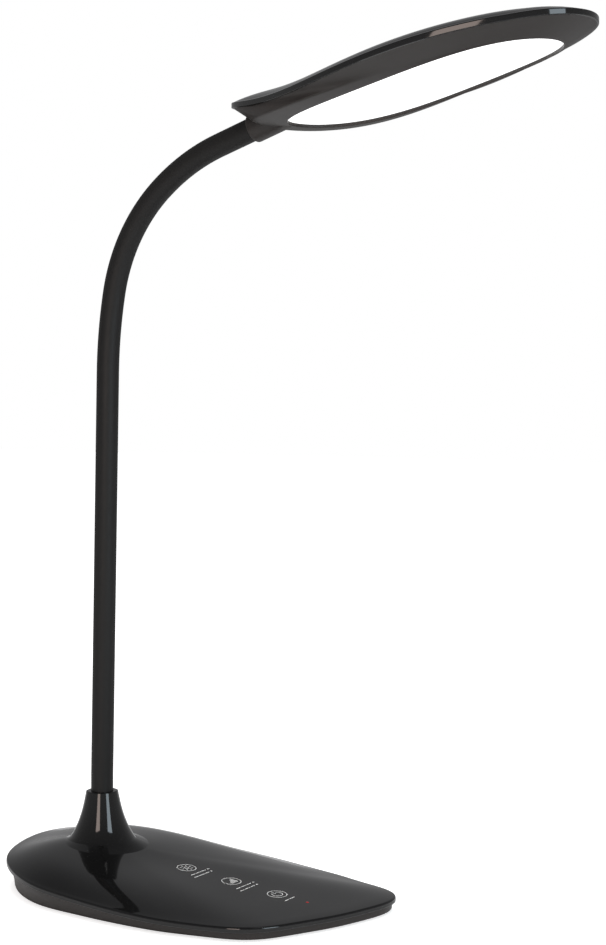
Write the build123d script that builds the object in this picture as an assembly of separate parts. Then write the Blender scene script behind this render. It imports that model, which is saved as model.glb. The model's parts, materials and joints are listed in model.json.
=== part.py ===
from build123d import *
import math
import os

os.makedirs("parts", exist_ok=True)

# Gooseneck desk lamp. Millimetres, +Z up, origin on the table under the stem's axis.
# The head reaches out along -Y, the front, and +X is on the user's right.

# Driving dimensions: base
base_front = 164.0  # stem axis to the front edge
base_rear = 52.5  # stem axis to the rear edge
base_half_width = 66.5
# Rim outline, anticlockwise: share of the half width, share of the front or rear reach.
base_shape = [
    (0.37, -1.00), (0.655, -0.978), (0.755, -0.90), (0.835, -0.80), (0.935, -0.64),
    (0.998, -0.45), (1.015, -0.25), (0.98, 0.0), (0.80, 0.62), (0.38, 1.00), (-0.10, 0.98),
    (-0.58, 0.66), (-0.90, 0.0), (-0.97, -0.30), (-0.93, -0.55), (-0.74, -0.80),
    (-0.42, -0.89), (-0.09, -0.951),
]
base_edge_low = 8.3  # rim's top edge at the front
base_edge_rise = 5.8  # rim's extra height at the stem
base_edge_start = 110.0  # how far ahead of the stem the rise begins
base_band = 2.8  # height of the cover's vertical rim
crown_at_stem = 7.4  # middle of the cover above its rim, beside the stem
crown_left_behind = 0.2  # share of that crown left at the rear edge
cover_wall = 2.2
cover_edge_round = 1.2
shell_wall = 2.0
shell_inset_top = 2.6  # lower shell's side behind the rim, where it meets the cover
shell_inset_bottom = 5.0
foot_height = 1.5
foot_recess = 0.5
foot_radius = 6.5
middle_foot_radius = 9.0

# Driving dimensions: boot round the stem, part of the cover
neck_radius = 6.0
boot_top = 51.0
boot_foot = 19.0
boot_radius_top = neck_radius + 2.2
boot_slope = 6.5  # growth of the boot's radius down to its foot, as a cone
boot_flare = 9.6  # further growth, most of it near the foot
boot_wall = 2.2
boot_round = 0.8

# Driving dimensions: gooseneck
hose_radius = 4.0
neck_bore = hose_radius + 0.2
hose_bore = 2.8
lead_radius = 1.6
lead_room = 0.4  # round the lead, inside the fittings
# Length and forward turn, in degrees, of each stretch from the boot's top to the head.
neck_stretches = [
    (12.0, 1.38), (215.2, 0.0), (42.8, 9.83), (62.3, 39.6), (43.4, 22.05), (21.4, 0.0),
]
# Distance of each bending point from the boot's top.
bend_places = [15.0, 55.0, 95.0, 180.0, 225.0, 262.0, 296.0, 330.0, 366.0]
ball_radius = neck_radius + 1.0
socket_radius = ball_radius + 0.15
neck_seat = 20.8  # height of the web that the base fitting stands on
neck_into_head = 7.0
sleeve_into_fitting = 4.0  # hose's end beyond the sleeve's, inside each fitting

# Driving dimensions: head, measured from the neck's end
head_length = 195.0
head_half_width = 51.0
head_overhang = 6.8  # rear tip behind the neck's end
head_lift = 12.7  # window's middle above the neck's end
# Rim outline of one half, from the rear tip: share of the half width, share of the length.
head_shape = [
    (0.0, 0.0), (0.24, 0.03), (0.41, 0.10), (0.58, 0.20), (0.77, 0.31), (0.93, 0.43), (1.0, 0.56),
    (0.94, 0.69), (0.79, 0.80), (0.61, 0.89), (0.39, 0.96), (0.0, 1.0),
]
window_rear = 24.8  # rear tip to the window
window_length = 154.1
window_half_width = 30.1
window_shape = [
    (0.0, 0.0), (0.20, 0.03), (0.46, 0.10), (0.73, 0.20), (0.91, 0.31), (0.99, 0.43),
    (0.99, 0.56), (0.94, 0.69), (0.83, 0.80), (0.67, 0.89), (0.43, 0.96), (0.0, 1.0),
]
lip_width = 8.5  # flat rim round the window
head_wall = 1.9
head_band = 2.8
head_crown = 11.0
head_side = 4.9  # window up to the band's lower edge
diffuser_thickness = 1.5
diffuser_overlap = 2.2
rise_slope = 18.57  # the window's long S from rear to front: slope, bow and twist terms
rise_bow = 0.54
rise_twist = -4.45
edge_slope = -1.7  # rim's height over the window, rear to front
edge_bow = 2.8  # extra height of the rim at both ends
led_board_lift = 6.5  # LED board above the window's surface
led_board_thickness = 1.0
led_board_start = 11.0  # window's rear to the board
led_column_places = [-21.0, -7.0, 7.0, 21.0]
led_pitch = 10.0
led_size = (2.8, 3.5, 0.8)
boss_radius = neck_radius + 1.4
boss_start = 1.5  # boss's face beyond the neck's end
boss_length = 22.0

# Fasteners and fits
screw_radius = 1.5
screw_head_radius = 2.7
screw_head_height = 1.6
thread_clearance = 0.05
slip = 0.1
board_thickness = 1.2
post_radius = 3.5
through = 60.0  # height that cuts pass right through the base

# Base outline and heights


def shaped_points(shape, half_width, front, rear):
    return [(x * half_width, y * (front if y < 0 else rear)) for x, y in shape]


def inset_points(points, inset):
    moved = []
    for before, here, after in zip(points[-1:] + points[:-1], points, points[1:] + points[:1]):
        along_x = after[0] - before[0]
        along_y = after[1] - before[1]
        length = math.hypot(along_x, along_y)
        moved.append((here[0] - along_y / length * inset, here[1] + along_x / length * inset))
    return moved


def outline_face(points, inset=0.0, z=0.0):
    corners = [(x, y, z) for x, y in inset_points(points, inset)]
    return Face(Wire([Spline(*corners, periodic=True)]))


base_points = shaped_points(base_shape, base_half_width, base_front, base_rear)


def base_face(inset=0.0, z=0.0):
    return outline_face(base_points, inset, z)


def edge_height(y):
    ahead = max(0.0, (y + base_edge_start) / base_edge_start)
    return base_edge_low + base_edge_rise * ahead**1.5


def crown_height(y):
    if y > 0:
        behind = min(1.0, y / base_rear)
        return crown_at_stem * (1.0 - (1.0 - crown_left_behind) * behind**2)
    share = max(0.0, (y + base_front) / base_front)
    return crown_at_stem * math.sin(share * math.pi / 2)


def cover_height(x, y):
    side = x / base_half_width
    return edge_height(y) + crown_height(y) * (1.0 - side**2)


def under_surface(height, x_reach, y_low, y_high, floor):
    """Solid from the floor up to a smooth height over a rectangle."""
    columns = 7
    rows = 13
    grid = []
    for i in range(columns):
        x = -x_reach + 2 * x_reach * i / (columns - 1)
        line = []
        for j in range(rows):
            y = y_low + (y_high - y_low) * j / (rows - 1)
            line.append(Vector(x, y, height(x, y)))
        grid.append(line)
    top = Face.make_surface_from_array_of_points(grid, tol=0.02)
    depth = max(point.Z for line in grid for point in line) - floor
    below = Solid.extrude(top, Vector(0, 0, -depth - 40))
    reach = 4 * (x_reach + y_high - y_low)
    return below - Pos(0, 0, floor - reach / 2) * Box(reach, reach, reach)


def base_block(inset, drop, floor):
    """Everything inside the base's outline between the floor and the lowered cover."""
    reach = base_half_width * 1.3

    def height(x, y):
        return cover_height(x, y) - drop

    below = under_surface(height, reach, -base_front * 1.15, base_rear * 1.3, floor)
    return extrude(base_face(inset, floor - 1), 60) & below


def base_rim_cut():
    """Everything lower than the rim's lower edge."""
    reach = base_half_width * 1.4

    def height(x, y):
        return edge_height(y) - base_band

    return under_surface(height, reach, -base_front * 1.2, base_rear * 1.4, -30.0)


# Boot


def boot_radius(z):
    share = max(0.0, (boot_top - z) / (boot_top - boot_foot))
    return boot_radius_top + boot_slope * share + boot_flare * share**2.7


def boot_profile(offset, low, high, inner):
    steps = 8
    heights = [low + (high - low) * i / steps for i in range(steps + 1)]
    flare = Spline(*[(boot_radius(z) - offset, 0, z) for z in heights])
    rest = Polyline(
        (boot_radius(high) - offset, 0, high), (inner, 0, high),
        (inner, 0, low), (boot_radius(low) - offset, 0, low),
    )
    return Face(Wire([flare, *rest.edges()]))


def turned(face):
    return revolve(face, Axis.Z, 360)


def upright(radius, low, high, x=0.0, y=0.0):
    return Pos(x, y, (low + high) / 2) * Cylinder(radius, high - low)


def block(x_low, x_high, y_low, y_high, z_low, z_high):
    size = Box(x_high - x_low, y_high - y_low, z_high - z_low)
    return Pos((x_low + x_high) / 2, (y_low + y_high) / 2, (z_low + z_high) / 2) * size


floor_low = foot_height
floor_high = foot_height + shell_wall
washer_height = 1.0
bracket_thickness = 2.0
nut_height = 4.0
thread_radius = 5.0
web_thickness = 3.0
web_low = neck_seat - web_thickness
rear_post_x = base_half_width - 24.5
front_post_x = base_half_width - 26.0
front_post_y = -0.58 * base_front
post_places = [
    (rear_post_x, 5.0), (-rear_post_x, 5.0),
    (front_post_x, front_post_y), (-front_post_x, front_post_y),
]
post_low = floor_high + 2.0
screw_recess = 0.6  # base screws' heads below the shell's underside
icon_places = [-57.5, -86.7, -115.5]
lamp_place = -134.0
light_pipe_radius = 1.0


def base_top_cover():
    cover = base_block(0.0, 0.0, 0.0) - base_rim_cut()
    rim_edges = [e for e in cover.edges() if e.length > 200]
    cover = fillet(sorted(rim_edges, key=lambda e: e.center().Z)[-1:], cover_edge_round)
    cover = cover - base_block(cover_wall, cover_wall, -5.0)
    boot = turned(boot_profile(0.0, web_low, boot_top, 0.1))
    top_edge = boot.edges().sort_by(Axis.Z)[-1]
    boot = fillet([top_edge], boot_round)
    cover = cover + (boot & upright(90, web_low, 90))
    hollow_high = boot_top - 12
    hollow = turned(boot_profile(boot_wall, web_low - 1, hollow_high, neck_radius + boot_wall))
    cover = cover - hollow
    cover = cover - upright(neck_radius + slip, neck_seat, boot_top + 5)
    cover = cover - upright(thread_radius + slip, 0, neck_seat + 1)
    for x, y in post_places:
        ceiling = cover_height(x, y) - cover_wall
        post = upright(post_radius, post_low, ceiling + 0.8, x, y)
        hole = upright(screw_radius + thread_clearance, 0, ceiling, x, y)
        cover = cover + post - hole
    pipe_hole = upright(light_pipe_radius + slip, 0, through, 0, lamp_place)
    return cover - pipe_hole


# Lower shell, feet and screws


def shell_block(inset, low):
    """Tapering side of the lower shell, up to just under the cover."""
    high = boot_foot
    slope = (shell_inset_bottom - shell_inset_top) / (high - foot_height)
    low_face = base_face(shell_inset_bottom + inset - slope * (low - foot_height), low)
    high_face = base_face(shell_inset_top + inset, high)
    side = Solid.make_loft([low_face.outer_wire(), high_face.outer_wire()])
    return side & base_block(0.0, cover_wall + slip, 0.0)


base_screw_seat = floor_low + screw_head_height + screw_recess
foot_places = [
    (base_half_width * 0.55, -base_front * 0.81), (-base_half_width * 0.36, -base_front * 0.74),
    (base_half_width * 0.57, base_rear * 0.34), (-base_half_width * 0.51, base_rear * 0.30),
]
jack_height = 9.0
jack_nose_radius = 4.0
jack_face = base_rear - shell_inset_bottom - 0.6
jack_depth = 14.0
jack_half_width = 4.5
jack_half_height = 4.5
jack_bore_radius = 3.2
jack_bore_depth = 9.0
jack_pin_radius = 1.05
jack_wall_reach = 3.0  # nose through the lower shell's rear wall


def along_y(radius, y_low, y_high, x, z):
    middle = Pos(x, (y_low + y_high) / 2, z)
    return middle * Rot(90, 0, 0) * Cylinder(radius, y_high - y_low)


def base_bottom_shell():
    shell = shell_block(0.0, floor_low) - shell_block(shell_wall, floor_high)
    for x, y in post_places:
        shell = shell + upright(post_radius + 1.0, floor_low, post_low, x, y)
        shell = shell - upright(screw_radius + slip, 0, post_low + 1, x, y)
        shell = shell - upright(screw_head_radius + slip, 0, base_screw_seat, x, y)
    for x, y, low in board_screw_places:
        shell = shell + upright(board_post_radius, floor_high, low, x, y)
        shell = shell - upright(screw_radius + thread_clearance, low - board_post_depth, low + 1, x, y)
    for x, y in foot_places:
        shell = shell - upright(foot_radius + slip, 0, floor_low + foot_recess, x, y)
    shell = shell - upright(middle_foot_radius + slip, 0, floor_low + foot_recess)
    return shell - along_y(jack_nose_radius + slip, jack_face - 8, jack_face + 20, 0, jack_height)


def foot_pads():
    pads = [upright(foot_radius, 0, floor_low + foot_recess, x, y) for x, y in foot_places]
    pads.append(upright(middle_foot_radius, 0, floor_low + foot_recess))
    return [fillet(pad.edges().sort_by(Axis.Z)[:1], 0.4) for pad in pads]


def screw(length):
    """Pan-head screw, head on the origin's +Z side, shank down."""
    head = upright(screw_head_radius, 0, screw_head_height)
    head = fillet(head.edges().sort_by(Axis.Z)[-1:], 0.6)
    slot = Box(3.2, 0.7, 1.4) + Box(0.7, 3.2, 1.4)
    return head + upright(screw_radius, -length, 0.1) - Pos(0, 0, screw_head_height) * slot


def base_screws():
    made = []
    for x, y in post_places:
        length = cover_height(x, y) - cover_wall - base_screw_seat - 0.5
        made.append(Pos(x, y, base_screw_seat) * Rot(180, 0, 0) * screw(length))
    return made


# Ballast, bracket and the stem's fixing

ballast_half_width = base_half_width - 29.5
ballast_front = 40.0
ballast_rear = 12.5
ballast_height = 9.0
ballast_hole_radius = 11.0
ballast_high = floor_high + ballast_height
lead_slot = 8.0  # slot through the ballast for the head's lead
groove_x = -13.0
groove_width = 3.2
groove_depth = 3.4
bracket_high = web_low
bracket_low = bracket_high - bracket_thickness
bracket_half_width = 18.0
bracket_half_depth = 9.0
bracket_foot_reach = 14.0
bracket_screw_x = bracket_half_width + bracket_foot_reach / 2
bracket_screw_y = 4.0
bracket_screw_length = 6.0
nut_radius = 8.5
washer_radius = 7.5
collar_height = 8.0  # base fitting above its web


def bracket_screw_places():
    return [(side * bracket_screw_x, bracket_screw_y) for side in (-1, 1)]


def ballast_plate():
    plate = block(-ballast_half_width, ballast_half_width, -ballast_front, ballast_rear,
                  floor_high, ballast_high)
    plate = fillet(plate.edges().filter_by(Axis.Z), 6.0)
    plate = plate - upright(ballast_hole_radius, 0, through)
    plate = plate - block(-lead_slot / 2, lead_slot / 2, 0, ballast_rear + 1, 0, through)
    high = ballast_high + 1
    groove = block(groove_x - groove_width / 2, groove_x + groove_width / 2, -ballast_front - 1,
                   ballast_rear + 1, ballast_high - groove_depth, high)
    plate = plate - groove
    for x, y in bracket_screw_places():
        plate = plate - upright(screw_radius + thread_clearance, floor_high + 1, high, x, y)
    return plate


def neck_bracket():
    plate = block(-bracket_half_width, bracket_half_width, -bracket_half_depth, bracket_half_depth,
                  bracket_low, bracket_high)
    for side in (-1, 1):
        near = side * bracket_half_width
        far = side * (bracket_half_width + bracket_foot_reach)
        wall = sorted((near, near - side * bracket_thickness))
        foot = sorted((near - side * bracket_thickness, far))
        plate = plate + block(*wall, -bracket_half_depth, bracket_half_depth,
                              ballast_high, bracket_high)
        plate = plate + block(*foot, -bracket_half_depth, bracket_half_depth,
                              ballast_high, ballast_high + bracket_thickness)
    for x, y in bracket_screw_places():
        plate = plate - upright(screw_radius + slip, 0, through, x, y)
    return plate - upright(thread_radius + slip, 0, through)


def bracket_screws():
    seat = ballast_high + bracket_thickness
    return [Pos(x, y, seat) * screw(bracket_screw_length) for x, y in bracket_screw_places()]


def neck_base_fitting():
    collar_high = neck_seat + collar_height
    thread_low = bracket_low - washer_height - nut_height - 0.5
    fitting = upright(neck_radius, neck_seat, collar_high)
    fitting = fitting + upright(thread_radius, thread_low, neck_seat)
    fitting = fitting - upright(lead_radius + lead_room, 0, through)
    return fitting - upright(hose_radius + slip, collar_high - sleeve_into_fitting, through)


def neck_lock_washer():
    ring = upright(washer_radius, bracket_low - washer_height, bracket_low)
    return ring - upright(thread_radius + slip, 0, through)


def neck_lock_nut():
    high = bracket_low - washer_height
    nut = Pos(0, 0, high - nut_height) * extrude(RegularPolygon(nut_radius, 6), nut_height)
    return nut - upright(thread_radius + thread_clearance, 0, through)


# Electronics in the base

touch_board_low = floor_high + 1.2
touch_board_high = touch_board_low + board_thickness
driver_board_low = floor_high + 1.5
driver_board_high = driver_board_low + board_thickness
driver_board_front = ballast_rear + 4.0
driver_board_rear = jack_face - 11.4
driver_half_width = 25.0
touch_rear = -ballast_front - 4.0
touch_front = lamp_place - 4.0
touch_half_width = 26.0
touch_wide_length = 22.0
touch_tongue_half_width = 11.0
touch_screw_x = touch_half_width - 5.0
touch_screw_y = touch_rear - 5.0
driver_screw_x = driver_half_width - 3.0
driver_screw_y = driver_board_rear - 4.0
touch_screw_places = [(-touch_screw_x, touch_screw_y), (touch_screw_x, touch_screw_y)]
driver_screw_places = [(-driver_screw_x, driver_screw_y), (driver_screw_x, driver_screw_y)]
board_screw_places = [(x, y, touch_board_low) for x, y in touch_screw_places]
board_screw_places += [(x, y, driver_board_low) for x, y in driver_screw_places]
board_post_radius = 3.0
board_post_depth = 2.6
board_screw_length = board_thickness + board_post_depth - 0.3
connector_width = 7.0
connector_depth = 5.0
connector_height = 3.4
inductor_width = 10.0
inductor_height = 4.5
foam_radius = 4.5
lead_height = driver_board_high + connector_height / 2
touch_lead_radius = 1.2
touch_plug_y = touch_rear - 9.0


def touch_board():
    board = block(-touch_half_width, touch_half_width, touch_rear - touch_wide_length, touch_rear,
                  touch_board_low, touch_board_high)
    board = board + block(-touch_tongue_half_width, touch_tongue_half_width, touch_front, touch_rear,
                          touch_board_low, touch_board_high)
    for x, y in touch_screw_places:
        board = board - upright(screw_radius + slip, 0, through, x, y)
    return board


def touch_foam_pads():
    pads = []
    for y in icon_places:
        front = y - foam_radius
        ceiling = min(cover_height(0, front), cover_height(foam_radius, front)) - cover_wall
        pads.append(upright(foam_radius, touch_board_high, ceiling - 0.1, 0, y))
    return pads


def status_light_pipe():
    return upright(light_pipe_radius, touch_board_high, cover_height(0, lamp_place) - 0.05,
                   0, lamp_place)


def driver_board():
    board = block(-driver_half_width, driver_half_width, driver_board_front, driver_board_rear,
                  driver_board_low, driver_board_high)
    for x, y in driver_screw_places:
        board = board - upright(screw_radius + slip, 0, through, x, y)
    notch = jack_half_width + 0.5
    notch_front = jack_face - jack_wall_reach - jack_depth
    return board - block(-notch, notch, notch_front, driver_board_rear + 1, 0, through)


def driver_inductor():
    x_low = driver_screw_x - 3.0 - inductor_width
    y_low = (driver_board_front + driver_board_rear - inductor_width) / 2 - 2
    body = block(x_low, x_low + inductor_width, y_low, y_low + inductor_width,
                 driver_board_high, driver_board_high + inductor_height)
    return fillet(body.edges().filter_by(Axis.Z), 2.0)


def lead_connectors():
    front = driver_board_front + 0.5
    corners = [
        (-connector_width / 2, front, driver_board_high),
        (groove_x - touch_lead_radius, front, driver_board_high),
        (groove_x - 3 - connector_width, touch_plug_y - connector_depth, touch_board_high),
    ]
    return [block(x, x + connector_width, y, y + connector_depth, z, z + connector_height)
            for x, y, z in corners]


def dc_jack_housing():
    back = jack_face - jack_wall_reach
    body = block(-jack_half_width, jack_half_width, back - jack_depth, back,
                 jack_height - jack_half_height, jack_height + jack_half_height)
    nose = along_y(jack_nose_radius, back - 1, jack_face, 0, jack_height)
    bore = along_y(jack_bore_radius, jack_face - jack_bore_depth, jack_face + 1, 0, jack_height)
    pin_hole = along_y(jack_pin_radius + slip, jack_face - jack_bore_depth - 5, jack_face, 0,
                       jack_height)
    return body + nose - bore - pin_hole


def dc_jack_pin():
    pin = along_y(jack_pin_radius, jack_face - jack_bore_depth - 4.5, jack_face - 1, 0, jack_height)
    return fillet(pin.edges().sort_by(Axis.Y)[-1:], 0.4)


def board_screws():
    return [Pos(x, y, low + board_thickness) * screw(board_screw_length)
            for x, y, low in board_screw_places]


def round_lead(points, radii, radius):
    path = FilletPolyline(*points, radius=radii)
    start = path @ 0
    section = Plane(origin=start, z_dir=path % 0) * Circle(radius)
    return sweep(section, path=path)


def touch_lead():
    low = ballast_high - groove_depth + touch_lead_radius + 0.3
    plug_z = touch_board_high + connector_height / 2
    points = [
        (groove_x, driver_board_front + 0.5, lead_height),
        (groove_x, driver_board_front - 1.6, lead_height),
        (groove_x, driver_board_front - 1.6 - (low - lead_height), low),
        (groove_x, -ballast_front - 1.5, low),
        (groove_x, -ballast_front - 7.5, plug_z),
        (groove_x, touch_plug_y - connector_depth / 2, plug_z),
        (groove_x - 3, touch_plug_y - connector_depth / 2, plug_z),
    ]
    return round_lead(points, [1.3, 1.3, 2.0, 2.0, 1.3], touch_lead_radius)


# Gooseneck


def neck_state(distance):
    """Y, Z and forward lean of the neck's axis at a distance from the boot's top."""
    y = 0.0
    z = boot_top
    lean = 0.0
    left = distance
    for length, turn in neck_stretches:
        step = max(0.0, min(left, length))
        if turn == 0.0:
            y -= step * math.sin(lean)
            z += step * math.cos(lean)
        else:
            radius = length / math.radians(turn)
            after = lean + step / radius
            y -= radius * (math.cos(lean) - math.cos(after))
            z += radius * (math.sin(after) - math.sin(lean))
            lean = after
        left -= step
    if distance < 0:
        return 0.0, boot_top + distance, 0.0
    return y - left * math.sin(lean), z + left * math.cos(lean), lean


def neck_point(distance):
    y, z, lean = neck_state(distance)
    return Vector(0, y, z)


def neck_wire(start, stop):
    marks = [start]
    reached = 0.0
    for length, turn in neck_stretches:
        if start + 0.01 < reached < stop - 0.01:
            marks.append(reached)
        reached += length
    marks.append(stop)
    edges = []
    for low, high in zip(marks[:-1], marks[1:]):
        lean_change = neck_state(high)[2] - neck_state(low)[2]
        if abs(lean_change) < 1e-9:
            edges.append(Edge.make_line(neck_point(low), neck_point(high)))
        else:
            middle = neck_point((low + high) / 2)
            edges.append(Edge.make_three_point_arc(neck_point(low), middle, neck_point(high)))
    return Wire(edges)


def neck_tube(start, stop, outer, inner):
    lean = neck_state(start)[2]
    section = Circle(outer)
    if inner > 0:
        section = section - Circle(inner)
    plane = Plane(origin=neck_point(start), x_dir=(1, 0, 0),
                  z_dir=(0, -math.sin(lean), math.cos(lean)))
    return sweep(plane * section, path=neck_wire(start, stop))


def neck_piece(start, stop, outer, inner, first, last):
    """Tube between two bending points, hollow-ended at the first and ball-ended at the last."""
    piece = neck_tube(start, stop, outer, inner)
    if last:
        ball = Pos(*neck_point(stop)) * Sphere(ball_radius)
        piece = piece + (neck_tube(stop, stop + ball_radius + 0.2, outer, inner) & ball)
    if first:
        piece = piece - Pos(*neck_point(start)) * Sphere(socket_radius)
    return piece


neck_length = sum(length for length, turn in neck_stretches)
bend_count = len(bend_places)
sleeve_start = neck_seat + collar_height - boot_top
sleeve_stop = neck_length + neck_into_head
hose_start = sleeve_start - sleeve_into_fitting
hose_stop = sleeve_stop + sleeve_into_fitting


def neck_parts():
    """Sleeve, hose and lead of each stretch between bending points."""
    made = {}
    tubes = [
        ("neck_sleeve", neck_radius, neck_bore, sleeve_start, sleeve_stop),
        ("neck_hose", hose_radius, hose_bore, hose_start, hose_stop),
    ]
    for name, outer, inner, begin, end in tubes:
        stops = [begin, *bend_places, end]
        for i, (low, high) in enumerate(zip(stops[:-1], stops[1:])):
            made[f"{name}_{i}"] = neck_piece(low, high, outer, inner, i > 0, i < bend_count)
    for i, (low, high) in enumerate(zip(bend_places[:-1], bend_places[1:])):
        made[f"neck_lead_{i + 1}"] = neck_piece(low, high, lead_radius, 0, True, True)
    made["neck_lead_0"] = base_lead()
    made[f"neck_lead_{bend_count}"] = head_lead()
    return made


def base_lead():
    low = Vector(0, 0, boot_top)
    run = round_lead(
        [(0, driver_board_front + 0.5, lead_height), (0, 0, lead_height), low],
        [3.6], lead_radius)
    return run + neck_piece(0.0, bend_places[0], lead_radius, 0, False, True)


# Head outline and heights

neck_end_y, neck_end_z, neck_end_lean = neck_state(neck_length)
head_rear = neck_end_y + head_overhang
head_middle = 0.537 * head_length
window_scale = 0.41 * head_length
edge_scale = window_scale


def window_height(along):
    """Height of the window's surface at a distance from the head's rear tip."""
    t = (along - head_middle) / window_scale
    return neck_end_z + head_lift + rise_slope * t + rise_bow * t**2 + rise_twist * t**3


def edge_above(along):
    t = (along - head_middle) / edge_scale
    return head_side + edge_slope * t + edge_bow * t**2


def head_outline(shape, half_width, length, start):
    right = [(x * half_width, head_rear - start - share * length) for x, share in shape]
    left = [(-x, y) for x, y in right[1:-1]]
    return right[::-1] + left


def width_at(points, along):
    """Half width of an outline at a distance from the head's rear tip."""
    y = head_rear - along
    crossing = Line((0, y, 0), (2 * head_half_width, y, 0)) & outline_face(points)
    return crossing.length if crossing else 0.0


rim_points = head_outline(head_shape, head_half_width, head_length, 0.0)
window_points = head_outline(window_shape, window_half_width, window_length, window_rear)
lip_points = inset_points(window_points, -lip_width)
head_floor = neck_end_z - 40


def head_prism(points, inset):
    return extrude(outline_face(points, inset, head_floor), 120)


def head_below(lift, from_edge):
    """Everything lower than the rim's edge, or than the window's surface, plus the lift."""
    half = head_half_width * 1.5
    tops = []
    for i in range(15):
        along = head_length * (-0.1 + 1.2 * i / 14)
        height = window_height(along) + (edge_above(along) if from_edge else 0.0)
        tops.append((-half, head_rear - along, height + lift))
    low = Polyline(tops[-1], (-half, tops[-1][1], head_floor), (-half, tops[0][1], head_floor), tops[0])
    side = Face(Wire([Spline(*tops), *low.edges()]))
    return Solid.extrude(side, Vector(2 * half, 0, 0))


def head_layer(points, outset, low, high):
    """Sheet that follows the window's surface inside an outline."""
    return (head_prism(points, -outset) & head_below(high, False)) - head_below(low, False)


def head_place(x, along, lift, off=0.0):
    """Frame square to the window's surface, lifted upright and then off along its normal."""
    slope = window_height(along + 0.5) - window_height(along - 0.5)
    normal = Vector(0, slope, 1).normalized()
    origin = Vector(x, head_rear - along, window_height(along) + lift) + normal * off
    return Plane(origin=origin, x_dir=(1, 0, 0), z_dir=normal).location


def end_ramp(along):
    """0 over the window and 1 at the head's two tips."""
    rear = window_rear - lip_width
    front = window_rear + window_length + lip_width * 0.6
    if along < rear:
        return (rear - along) / rear
    if along > front:
        return (along - front) / (head_length - front)
    return 0.0


def hull_section(along, inset):
    low_half = max(tip_keel_half_width, width_at(lip_points, along)) - inset
    high_half = max(tip_half_width, width_at(rim_points, along)) - inset
    y = head_rear - along
    edge = window_height(along) + edge_above(along)
    keel = window_height(along) + edge_above(along) * min(1.0, end_ramp(along)) ** 1.4 + inset
    low = edge + inset
    high = low + hull_above_edge
    corners = [
        (low_half, y, keel), (high_half, y, low), (high_half, y, high),
        (-high_half, y, high), (-high_half, y, low), (-low_half, y, keel),
    ]
    return Wire.make_polygon([Vector(*c) for c in corners], close=True)


def crown_section(along, inset):
    half = max(tip_half_width, width_at(rim_points, along)) + 1.0 - inset
    y = head_rear - along
    low = window_height(along) + edge_above(along)
    side = low + head_band - inset
    middle = 2 * along / head_length - 1
    top = side + 0.3 + head_crown * max(0.0, 1 - abs(middle) ** 3)
    arc = Edge.make_three_point_arc(Vector(half, y, side), Vector(0, y, top), Vector(-half, y, side))
    low -= 2 * inset
    rest = Polyline((-half, y, side), (-half, y, low), (half, y, low), (half, y, side))
    return Wire([arc, *rest.edges()])


tip_half_width = 16.0  # least half width of a section, beyond the outline's two tips
tip_keel_half_width = 5.0
hull_above_edge = 6.0
hull_stations = [-0.02, 0.05, 0.11, 0.17, 0.25, 0.36, 0.50, 0.64, 0.76, 0.86, 0.92, 0.97, 1.02]


def head_loft(section, inset):
    return Solid.make_loft([section(share * head_length, inset) for share in hull_stations])


led_screw_places = [60.0, 102.0, 144.0]
led_screw_radius = 1.0
led_screw_length = 3.2
led_post_radius = 3.0
led_screw_head_radius = 1.8
plug_size = (7.0, 5.4, 3.2)
led_board_top = led_board_lift + led_board_thickness
ferrule_length = 7.5
grub_place = 12.7
grub_length = 3.2
edge_step = 0.8  # lower shell behind the band


def lead_way(stop):
    """Round way for the lead, from the neck's end into the head."""
    return neck_tube(neck_length, stop, lead_radius + lead_room + 0.2, 0)


def head_lower_shell():
    shell = head_loft(hull_section, 0.0) & head_prism(rim_points, edge_step)
    shell = shell & head_below(0.0, True)
    cavity = head_loft(hull_section, head_wall) & head_prism(rim_points, edge_step + head_wall)
    pocket = head_layer(window_points, diffuser_overlap + 0.25, head_wall, 20)
    start = neck_length + boss_start
    boss = neck_tube(start, start + boss_length, boss_radius, 0)
    shell = shell - cavity + (boss & head_below(-0.1, True)) - pocket
    shell = shell - head_prism(window_points, 0.0)
    bore = neck_tube(neck_length - 5, sleeve_stop + ferrule_length + 0.3, neck_radius + slip, 0)
    way = lead_way(start + boss_length + 1)
    grub = grub_frame() * Pos(0, 0, neck_radius) * Cylinder(screw_radius + thread_clearance, 6)
    return shell - bore - way - grub


def head_top_cover():
    cover = head_loft(crown_section, 0.0) & head_prism(rim_points, 0.0)
    cover = cover - head_below(0.0, True)
    hollow = head_loft(crown_section, head_wall) & head_prism(rim_points, head_wall)
    cover = cover - hollow
    for along in led_screw_places:
        place = head_place(0, along, led_board_lift, led_board_thickness + 0.05)
        middle = 2 * along / head_length - 1
        crown = head_crown * (1 - abs(middle) ** 3)
        length = edge_above(along) + head_band + crown - head_wall - led_board_top + 0.8
        post = place * Pos(0, 0, length / 2) * Cylinder(led_post_radius, length)
        hole = place * Pos(0, 0, length / 2 - 0.5) * Cylinder(led_screw_radius + thread_clearance, length)
        cover = cover + post - hole
    return cover


def diffuser():
    low = head_wall + slip
    return head_layer(window_points, diffuser_overlap, low, low + diffuser_thickness)


def reflector_frame():
    low = head_wall + slip + diffuser_thickness + 0.05
    outer = head_layer(window_points, diffuser_overlap - 0.3, low, led_board_lift - 0.05)
    frame = outer - head_prism(window_points, -0.5)
    return frame - lead_way(neck_length + 40)


def led_board():
    board = head_layer(window_points, diffuser_overlap - 0.4, led_board_lift, led_board_top)
    cut_y = head_rear - window_rear - led_board_start
    board = board - block(-60, 60, cut_y, cut_y + 60, head_floor, head_floor + 120)
    for along in led_screw_places:
        place = head_place(0, along, led_board_lift)
        board = board - place * Cylinder(led_screw_radius + slip, 6)
    return board


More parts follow.
